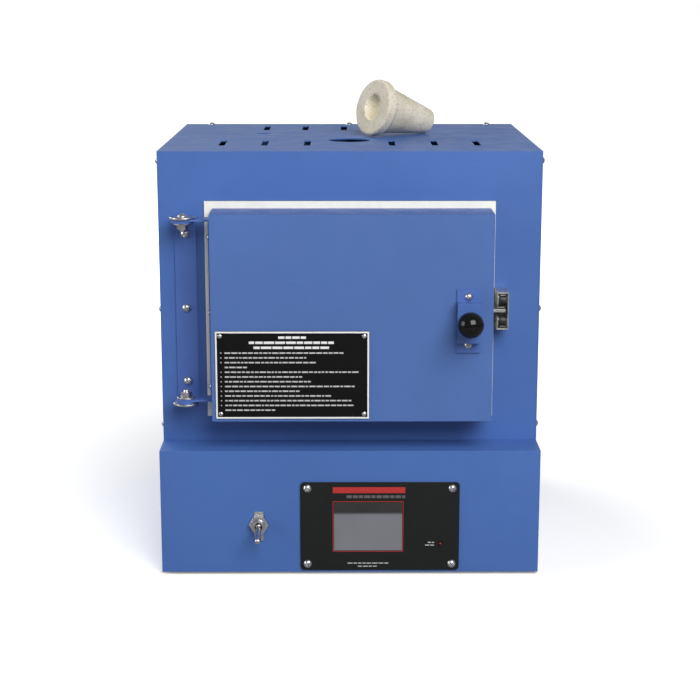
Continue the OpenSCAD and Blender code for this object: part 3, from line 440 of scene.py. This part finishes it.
# A brighter copy of the refractory: painted light for the inside of the plug's hole
LIT_HOLLOW_REFRACTORY = cast_refractory("refractory_hollow_painted_light", 1.35)
SHEATH = cast_refractory("sheath")
FILM = panel_film("black_panel")
SCREEN_LOW, SCREEN_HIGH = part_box("touch_screen")
GLASS = touch_glass("screen", SCREEN_LOW.z, SCREEN_HIGH.z)
BOARD = moulded("board", srgb(28, 92, 52), 0.4)
LED = moulded("led_red", srgb(84, 20, 20), 0.15, 0.02)
PHENOLIC = moulded("black_plastic", srgb(7, 7, 6), 0.08, 0.02, specular=0.28)
MOULDING = moulded("black_moulding", srgb(36, 36, 37), 0.45)
CREAM = moulded("cream_plastic", srgb(228, 222, 200), 0.45)
LAMINATION = moulded("lamination", srgb(78, 70, 64), 0.5, 0.3)
SLEEVE = moulded("wire_cover", srgb(176, 60, 44), 0.5, 0.3)
RUBBER = moulded("rubber", srgb(30, 30, 30), 0.75, 0.4)
NYLON = moulded("roller_plastic", srgb(38, 38, 40), 0.4, 0.1)
LABEL_BLACK = moulded("label_metal", srgb(9, 9, 10), 0.4, 0.06, specular=0.15)
INK_WHITE = print_ink("ink_white", srgb(232, 232, 232))
INK_TEXT = print_ink("ink_text", srgb(190, 190, 190))
INK_RED = print_ink("ink_red", srgb(176, 40, 36))
INK_GREY = print_ink("ink_grey", srgb(92, 88, 88))

MATERIAL_OF_SLOT = {
    "case_paint": CASE_PAINT, "door_paint": DOOR_PAINT, "bracket_paint": BRACKET_PAINT,
    "galvanised": GALVANISED, "zinc_screw": ZINC, "steel": STEEL, "brass": BRASS,
    "element_wire": OXIDISED, "fibre": FIBRE, "blanket_fibre": BLANKET_FIBRE,
    "refractory": REFRACTORY, "sheath": SHEATH, "black_panel": FILM, "screen": GLASS,
    "board": BOARD, "led_red": LED, "black_plastic": PHENOLIC, "black_moulding": MOULDING,
    "cream_plastic": CREAM, "lamination": LAMINATION, "wire_cover": SLEEVE, "rubber": RUBBER,
    "roller_plastic": NYLON, "label_metal": LABEL_BLACK,
}

# Rounding of the edges of turned and moulded nodes, in millimetres; the rest take the default
EDGE_MM = {
    "feet": 0.6, "relay": 1.0, "transformer": 0.8, "terminal_block": 0.8, "cable_gland": 0.6,
    "fuse_holder": 0.6, "thermocouple": 0.4,
}
DEFAULT_EDGE_MM = 0.25

# Nodes made of flat faces: they are shaded flat, and only their shader softens the edges
FLAT_NODES = {
    "front_top_sheet", "side_left", "side_right", "back_panel", "base_shell", "service_panel",
    "bottom_plate", "deck", "rear_clamp", "muffle", "muffle_back", "door_insulation", "door_pan",
    "panel_overlay", "label_plate", "touch_screen", "display_module", "controller_board",
    "handle_bracket", "hinge_bracket", "door_hinge_plate", "catch_housing", "toggle_plate",
    "strike", "toggle_nut", "hinge_nuts",
}


def dress_frame():
    """Gives every CAD node its material, and rounds the edges of the ones that aren't flat."""
    slot_of = {s["node"]: s["material_slot"] for s in frame["record"]["subparts"]}
    for name, obj in NODES.items():
        obj.data.materials.clear()
        obj.data.materials.append(MATERIAL_OF_SLOT[slot_of[name]])
        smooth = name not in FLAT_NODES
        obj.data.polygons.foreach_set("use_smooth", [smooth] * len(obj.data.polygons))
        if smooth:
            soften(obj, EDGE_MM.get(name, DEFAULT_EDGE_MM) * MM, segments=2)


# ---- Door fittings ----


def make_knob():
    """Polished ball knob with its neck, stud and nut."""
    low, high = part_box("knob")
    radius = (high.x - low.x) / 2
    centre = Vector(((low.x + high.x) / 2, low.y + radius, (low.z + high.z) / 2))
    bracket_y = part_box("handle_bracket")[0].y
    reach = bracket_y - centre.y
    profile = [(0.0, -radius)]
    for step in range(1, 31):
        angle = math.radians(-90 + step * 5)
        profile.append((radius * math.cos(angle), radius * math.sin(angle)))
    profile += [
        (5.6 * MM, reach - 4.2 * MM),
        (5.8 * MM, reach - 1.4 * MM),
        (6.6 * MM, reach - 0.3 * MM),
        (6.4 * MM, reach),
        (3 * MM, reach),
        (3 * MM, reach + 8 * MM),
        (0.0, reach + 8 * MM),
    ]
    stand = Matrix.Translation(centre) @ Matrix.Rotation(math.radians(-90), 4, "X")
    knob = from_bmesh("knob_ball", lathe(profile, stand, 72), PHENOLIC, "door")
    soften(knob, 0.3 * MM, 2, 50)
    nut_stand = (
        Matrix.Translation((centre.x, bracket_y + 2 * MM, centre.z))
        @ Matrix.Rotation(math.radians(-90), 4, "X")
    )
    nut = lathe([(0.0, 0.0), (5.7 * MM, 0.0), (5.7 * MM, 4 * MM), (0.0, 4 * MM)], nut_stand, 6)
    nut_piece = from_bmesh("knob_nut", nut, ZINC, "door")
    soften(nut_piece, 0.4 * MM, 2)
    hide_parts("knob")


# How far printed marks stand proud of their plate, and how far they reach into it
INK_RISE, BORDER_RISE, INK_SINK = 0.05 * MM, 0.06 * MM, 0.02 * MM


def word_row(shape, rng, left, right, middle_z, height, face_y, word_mm=(2.2, 6.5)):
    """A row of short plain bars that stands for a line of small print."""
    x = left
    while x < right - 1.5 * MM:
        length = min(rng.uniform(*word_mm) * MM, right - x)
        add_box(
            shape,
            (x, face_y - INK_RISE, middle_z - height / 2),
            (x + length, face_y + INK_SINK, middle_z + height / 2),
        )
        x += length + 1.0 * MM


def frame_strip(shape, low, high, width, face_y):
    """A flat rectangular border between two (x, z) corners."""
    (x0, z0), (x1, z1) = low, high
    back = face_y + INK_SINK
    front = face_y - BORDER_RISE
    add_box(shape, (x0, front, z0), (x1, back, z0 + width))
    add_box(shape, (x0, front, z1 - width), (x1, back, z1))
    add_box(shape, (x0, front, z0 + width), (x0 + width, back, z1 - width))
    add_box(shape, (x1 - width, front, z0 + width), (x1, back, z1 - width))


def make_label():
    """White border and plain rows of bars on the door's label plate."""
    low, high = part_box("label_plate")
    face = low.y
    border = bmesh.new()
    edge = 0.2 * MM
    frame_strip(
        border, (low.x + edge, low.z + edge), (high.x - edge, high.z - edge), 1.7 * MM, face
    )
    border_piece = from_bmesh("label_border", border, INK_WHITE, "door", smooth=False)
    rng = random.Random(4)
    width, height = high.x - low.x, high.z - low.z
    centre = (low.x + high.x) / 2
    heading = bmesh.new()
    for share, half in ((0.070, 0.09), (0.128, 0.28), (0.185, 0.25)):
        row = high.z - share * height
        left, right = centre - half * width, centre + half * width
        word_row(heading, rng, left, right, row, 2.5 * MM, face, (5.0, 11.0))
    heading_piece = from_bmesh("label_heading", heading, INK_WHITE, "door", smooth=False)
    rows = bmesh.new()
    row_count = 13
    for i in range(row_count):
        row = high.z - (0.245 + i * 0.0545) * height
        indented = i in (3, 12)
        if not indented:
            add_box(
                rows,
                (low.x + 5.2 * MM, face - INK_RISE, row - 0.6 * MM),
                (low.x + 6.4 * MM, face + INK_SINK, row + 0.6 * MM),
            )
        end = low.x + width * (rng.uniform(0.52, 0.96) if not indented else rng.uniform(0.2, 0.6))
        word_row(rows, rng, low.x + 9.5 * MM, end, row, 1.5 * MM, face)
    rows_piece = from_bmesh("label_rows", rows, INK_TEXT, "door", smooth=False)


# ---- Control panel ----


def make_panel_print():
    """Plain generic marks on the panel overlay: one block, rows of bars and the screen's border."""
    low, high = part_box("panel_overlay")
    face = low.y
    screen_low, screen_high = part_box("touch_screen")
    border = bmesh.new()
    margin = 1.1 * MM
    frame_strip(
        border,
        (screen_low.x - margin, screen_low.z - margin),
        (screen_high.x + margin, screen_high.z + margin),
        0.7 * MM,
        face,
    )
    border_piece = from_bmesh("screen_border", border, INK_RED, "case", smooth=False)

    middle = (screen_low.x + screen_high.x) / 2
    red = bmesh.new()
    add_box(
        red,
        (middle - 36 * MM, face - INK_RISE, high.z - 11.4 * MM),
        (middle + 38 * MM, face + INK_SINK, high.z - 5.0 * MM),
    )
    red_piece = from_bmesh("panel_red_bar", red, INK_RED, "case", smooth=False)
    grey = bmesh.new()
    rng = random.Random(9)
    left, right = middle - 22 * MM, middle + 38 * MM
    word_row(grey, rng, left, right, high.z - 15.2 * MM, 3.0 * MM, face, (4.0, 7.0))
    grey_piece = from_bmesh("panel_grey_bars", grey, INK_GREY, "case", smooth=False)

    small = bmesh.new()
    led_low, led_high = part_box("status_led")
    led_z = (led_low.z + led_high.z) / 2
    for drop, half in ((-1.4 * MM, 3.2 * MM), (1.6 * MM, 4.6 * MM)):
        end = led_low.x - 4.5 * MM
        word_row(small, rng, end - 2 * half, end, led_z - drop, 1.1 * MM, face, (3.0, 5.0))
    for rise, half in ((7.4 * MM, 21 * MM), (4.0 * MM, 10.5 * MM)):
        word_row(small, rng, middle - half, middle + half, low.z + rise, 1.1 * MM, face, (3.0, 6.0))
    small_piece = from_bmesh("panel_small_bars", small, INK_TEXT, "case", smooth=False)


# ---- Vent plug ----

PLUG_TURN = math.radians(35)
PLUG_FLANGE_R, PLUG_FLANGE_T = 31 * MM, 10 * MM
PLUG_NECK_R, PLUG_TIP_R, PLUG_LENGTH = 26.5 * MM, 13.75 * MM, 78 * MM
PLUG_HOLE_R, PLUG_HOLE_END_R, PLUG_HOLE_DEPTH = 14.3 * MM, 12.5 * MM, 14 * MM
PLUG_X, PLUG_Y = 25 * MM, 16 * MM


def make_plug():
    """Cast plug lying on its side: softened edges, an uneven surface, small chips and painted light
    inside its hole.
    """
    pitch = math.atan((PLUG_FLANGE_R - PLUG_TIP_R) / (PLUG_LENGTH - PLUG_FLANGE_T))
    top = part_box("front_top_sheet")[1].z
    rise = PLUG_FLANGE_T * math.sin(pitch) + PLUG_FLANGE_R * math.cos(pitch)
    base_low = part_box("base_shell")[0]
    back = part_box("back_panel")[1].y
    middle = (base_low.y + back) / 2
    place = (
        Matrix.Translation((PLUG_X, middle + PLUG_Y, top + rise + 0.05 * MM))
        @ Matrix.Rotation(PLUG_TURN, 4, "Z")
        @ Matrix.Rotation(pitch + math.radians(90), 4, "Y")
    )
    outline = [
        (0.0, PLUG_HOLE_DEPTH),
        (PLUG_HOLE_END_R, PLUG_HOLE_DEPTH),
        (PLUG_HOLE_R, 0.0),
        (PLUG_FLANGE_R, 0.0),
        (PLUG_FLANGE_R, PLUG_FLANGE_T),
        (PLUG_NECK_R, PLUG_FLANGE_T + 2.5 * MM),
        (PLUG_TIP_R, PLUG_LENGTH),
        (0.0, PLUG_LENGTH),
    ]
    soft = rounded(outline, [0, 7 * MM, 1.5 * MM, 3.2 * MM, 1.4 * MM, 3 * MM, 1.6 * MM], arc=5)
    profile = [soft[0]]
    for (r0, h0), (r1, h1) in zip(soft, soft[1:]):
        parts = max(1, round(math.dist((r0, h0), (r1, h1)) / (2.5 * MM)))
        profile += [(r0 + (r1 - r0) * k / parts, h0 + (h1 - h0) * k / parts) for k in range(1, parts + 1)]

    def uneven(point):
        radial = Vector((point.x, point.y, 0.0))
        if radial.length < 1e-6:
            return point
        fine = noise.noise(point * 900) * 0.12 * MM
        broad = noise.noise(point * 120) * 0.28 * MM
        chip = max(0.0, noise.noise(point * 260 + Vector((3, 1, 7))) - 0.42) * 2.2 * MM
        near_edge = 1.0 if radial.length > PLUG_FLANGE_R - 2.5 * MM else 0.25
        return point + radial.normalized() * (fine + broad - 0.3 * MM - chip * near_edge)

    plug = from_bmesh("plug_body", lathe(profile, place, 128, uneven), REFRACTORY, "plug")
    plug.data.materials.append(LIT_HOLLOW_REFRACTORY)
    # Faces inside the hole take the brighter copy: painted light falling into the hollow
    to_plug = place.inverted()
    for face in plug.data.polygons:
        centre = to_plug @ face.center
        in_hollow = math.hypot(centre.x, centre.y) < PLUG_HOLE_R and centre.z < PLUG_HOLE_DEPTH + MM
        face.material_index = 1 if in_hollow else 0
    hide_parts("vent_plug")


# ---- Inside the case ----


def make_windings():
    """Coiled resistance wire in the side grooves, with straight tails through the rear board."""
    low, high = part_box("heating_elements")
    rod_r = 3 * MM
    wire_r, coil_r, turn_pitch = 0.75 * MM, 2.15 * MM, 4.6 * MM
    rows, turn_steps = 6, 12
    pitch = (high.z - low.z - 2 * rod_r) / (rows - 1)
    bend = pitch / 2
    front = low.y + rod_r + bend
    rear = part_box("muffle")[1].y - 15 * MM
    for side, x in (("left", low.x + rod_r), ("right", high.x - rod_r)):
        centre_line = []
        for row in range(rows):
            z = low.z + rod_r + row * pitch
            ends = (rear, front) if row % 2 == 0 else (front, rear)
            centre_line += [(ends[0] + (ends[1] - ends[0]) * k / 40, z) for k in range(41)]
            if row < rows - 1:
                side_sign = -1 if row % 2 == 0 else 1
                for k in range(1, 10):
                    turn = math.pi * k / 10
                    centre_line.append((
                        ends[1] + side_sign * bend * math.sin(turn),
                        z + bend * (1 - math.cos(turn)),
                    ))
        helix = []
        travelled = 0.0
        for (y0, z0), (y1, z1) in zip(centre_line, centre_line[1:]):
            step = math.dist((y0, z0), (y1, z1))
            if step < 1e-9:
                continue
            along = ((y1 - y0) / step, (z1 - z0) / step)
            parts = max(1, round(step / turn_pitch * turn_steps))
            for k in range(parts):
                angle = 2 * math.pi * (travelled + step * k / parts) / turn_pitch
                across = coil_r * math.sin(angle)
                helix.append((
                    x + coil_r * math.cos(angle),
                    y0 + (y1 - y0) * k / parts - along[1] * across,
                    z0 + (z1 - z0) * k / parts + along[0] * across,
                ))
            travelled += step
        coil = tube("winding_" + side, helix, wire_r, OXIDISED, "case", sides=1)
        if side == "left":
            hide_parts("heating_elements")
        for row in (0, rows - 1):
            z = low.z + rod_r + row * pitch
            tail = tube(
                "winding_tail_%s_%d" % (side, row),
                [(x, rear - 2 * MM, z), (x, (rear + high.y) / 2, z), (x, high.y, z)],
                2.2 * MM, OXIDISED, "case", sides=3,
            )


def make_wiring():
    """Sleeved wires from the winding connectors down to the terminal block."""
    low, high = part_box("element_connectors")
    block_low, block_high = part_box("terminal_block")
    panel_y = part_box("back_panel")[0].y
    middle_x = (block_low.x + block_high.x) / 2
    for sign in (-1, 1):
        for tier, z in enumerate((low.z + 6 * MM, high.z - 6 * MM)):
            x = high.x - 6 * MM if sign > 0 else low.x + 6 * MM
            drop_y = high.y + 9 * MM + tier * 6 * MM
            spread = (34 + 9 * tier) * MM
            route = [
                (x, high.y - 0.5 * MM, z),
                (x + sign * 3 * MM, drop_y - 2 * MM, z - 3 * MM),
                (x + sign * 5 * MM * tier, drop_y, z - 22 * MM),
                (x + sign * 4 * MM * tier, drop_y, 0.150),
                (x * 0.97, drop_y - 2 * MM, 0.105),
                (middle_x + sign * (spread + 22 * MM), block_high.y + 8 * MM, 0.062),
                (middle_x + sign * spread, block_high.y - 6 * MM, 0.040),
                (middle_x + sign * spread, block_high.y - 6 * MM, block_high.z - 4 * MM),
            ]
            name = "wire_%s_%d" % ("right" if sign > 0 else "left", tier)
            wire = tube(name, smooth_path(route), 1.7 * MM, SLEEVE, "case", sides=3)
            if sign < 0 and tier == 0:
                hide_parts("wiring")


def make_blanket():
    """The fibre blanket as a soft, uneven wrap made from the CAD node's own outline."""
    source = NODES["blanket"]
    mesh = source.data.copy()
    mesh.name = "blanket_wrap"
    mesh.materials.clear()
    wrap = new_object("blanket_wrap", mesh, BLANKET_FIBRE, "case")
    weld = wrap.modifiers.new("weld", "WELD")
    weld.merge_threshold = 1e-5
    remesh = wrap.modifiers.new("remesh", "REMESH")
    remesh.mode = "VOXEL"
    remesh.voxel_size = 3.2 * MM
    apply_modifiers(wrap)
    low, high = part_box("blanket")
    for vertex in wrap.data.vertices:
        point = vertex.co
        inset = min(high.x - abs(point.x), high.z - point.z, high.y - point.y)
        if inset < 2 * MM:
            ripple = noise.noise(point * 22) * 1.6 * MM + noise.noise(point * 90) * 0.6 * MM
            push = abs(ripple)
            if high.z - point.z < 2 * MM:
                point.z -= push
            if high.y - point.y < 2 * MM:
                point.y -= push
            if high.x - abs(point.x) < 2 * MM:
                point.x -= math.copysign(push, point.x)
    wrap.data.polygons.foreach_set("use_smooth", [True] * len(wrap.data.polygons))
    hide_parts("blanket")


def apply_modifiers(obj):
    """Replaces the object's mesh by its evaluated mesh."""
    bpy.context.view_layer.update()
    evaluated = obj.evaluated_get(bpy.context.evaluated_depsgraph_get())
    finished = bpy.data.meshes.new_from_object(evaluated)
    obj.modifiers.clear()
    obj.data = finished


# ---- Studio ----


def make_stage():
    """A plain pale floor that turns to plain white some way out from the kiln."""
    surface = Surface("floor_pale", Roughness=0.85, Specular_IOR_Level=0.1)
    tint = surface.ramp(
        surface.noise(0.8, 2.0), [(0.3, srgb(250, 250, 251)), (0.7, srgb(253, 253, 253))]
    )
    path = surface.tree.nodes.new("ShaderNodeLightPath")
    seen = surface.mix(path.outputs["Is Camera Ray"], srgb(160, 160, 160), tint)
    surface.join(seen, "Base Color")
    distance = surface.tree.nodes.new("ShaderNodeVectorMath")
    distance.operation = "LENGTH"
    surface.tree.links.new(surface.object_space, distance.inputs[0])
    fade = surface.tree.nodes.new("ShaderNodeMapRange")
    fade.inputs["From Min"].default_value = 0.3
    fade.inputs["From Max"].default_value = 1.5
    fade.inputs["To Min"].default_value = 0.22
    fade.inputs["To Max"].default_value = 1.0
    surface.tree.links.new(distance.outputs["Value"], fade.inputs["Value"])
    white = surface.mix(path.outputs["Is Camera Ray"], (0, 0, 0, 1), fade.outputs["Result"])
    surface.join(white, "Emission Color")
    surface.set("Emission Strength", 1.0)
    reach = 9.0
    mesh = bpy.data.meshes.new("floor")
    corners = [(-reach, -reach, 0.0), (reach, -reach, 0.0), (reach, reach, 0.0), (-reach, reach, 0.0)]
    mesh.from_pydata(corners, [], [(0, 1, 2, 3)])
    floor = bpy.data.objects.new("floor", mesh)
    bpy.context.scene.collection.objects.link(floor)
    mesh.materials.append(surface.material)


def soft_light(name, place, target, size, power):
    """A rectangular soft box that points at a target."""
    data = bpy.data.lights.new(name, "AREA")
    data.shape = "RECTANGLE"
    data.size, data.size_y = size
    data.energy = power
    light = bpy.data.objects.new(name, data)
    light.location = place
    light.rotation_euler = (Vector(target) - Vector(place)).to_track_quat("-Z", "Y").to_euler()
    bpy.context.scene.collection.objects.link(light)


def make_world():
    """Dim white light from all round, brighter in reflections, and a white backdrop."""
    world = bpy.data.worlds.new("studio")
    bpy.context.scene.world = world
    world.use_nodes = True
    tree = world.node_tree
    path = tree.nodes.new("ShaderNodeLightPath")
    shader = tree.nodes["Background"].outputs["Background"]
    tree.nodes["Background"].inputs["Color"].default_value = (1.0, 1.0, 1.0, 1.0)
    tree.nodes["Background"].inputs["Strength"].default_value = 0.16
    for ray, strength in (("Is Glossy Ray", 0.30), ("Is Camera Ray", 1.0)):
        glow = tree.nodes.new("ShaderNodeBackground")
        glow.inputs["Color"].default_value = (1.0, 1.0, 1.0, 1.0)
        glow.inputs["Strength"].default_value = strength
        mix = tree.nodes.new("ShaderNodeMixShader")
        tree.links.new(path.outputs[ray], mix.inputs["Fac"])
        tree.links.new(shader, mix.inputs[1])
        tree.links.new(glow.outputs["Background"], mix.inputs[2])
        shader = mix.outputs["Shader"]
    tree.links.new(shader, tree.nodes["World Output"].inputs["Surface"])


def make_lights():
    """A large key box above and to the right of the camera, with weak fills round it."""
    aim = (0.0, -0.13, 0.27)
    soft_light("key_box", (0.71, -1.88, 1.60), aim, (1.6, 1.4), 64.0)
    soft_light("left_fill", (-2.6, -0.7, 1.0), aim, (1.4, 1.4), 28.0)
    soft_light("rear_glow", (0.0, 2.6, 0.9), (0.0, 0.0, 0.4), (2.4, 1.2), 2.0)
    soft_light("rear_fill", (-1.6, 2.0, 1.1), (0.0, 0.0, 0.2), (1.6, 1.4), 36.0)


# Place in metres, lens in millimetres on a 36 mm sensor, angles in degrees
CAMERA_PLACE, CAMERA_LENS = (-0.0051, -1.774, 0.595), 84.4
CAMERA_DOWN, CAMERA_YAW = 12.56, -0.18


def make_camera():
    """Camera a little above the kiln and in front of it, level from side to side."""
    data = bpy.data.cameras.new("camera")
    data.sensor_width = 36.0
    data.lens = CAMERA_LENS
    data.clip_start, data.clip_end = 0.05, 30.0
    camera = bpy.data.objects.new("camera", data)
    camera.location = CAMERA_PLACE
    camera.rotation_euler = Euler(
        (math.radians(90.0 - CAMERA_DOWN), 0.0, math.radians(CAMERA_YAW))
    )
    bpy.context.scene.collection.objects.link(camera)
    bpy.context.scene.camera = camera


def set_view():
    view = bpy.context.scene.view_settings
    view.view_transform = "Standard"
    view.look = "None"


# ---- Build ----

dress_frame()
make_knob()
make_label()
make_panel_print()
make_plug()
make_windings()
make_wiring()
make_blanket()
make_stage()
make_world()
make_lights()
make_camera()
set_view()
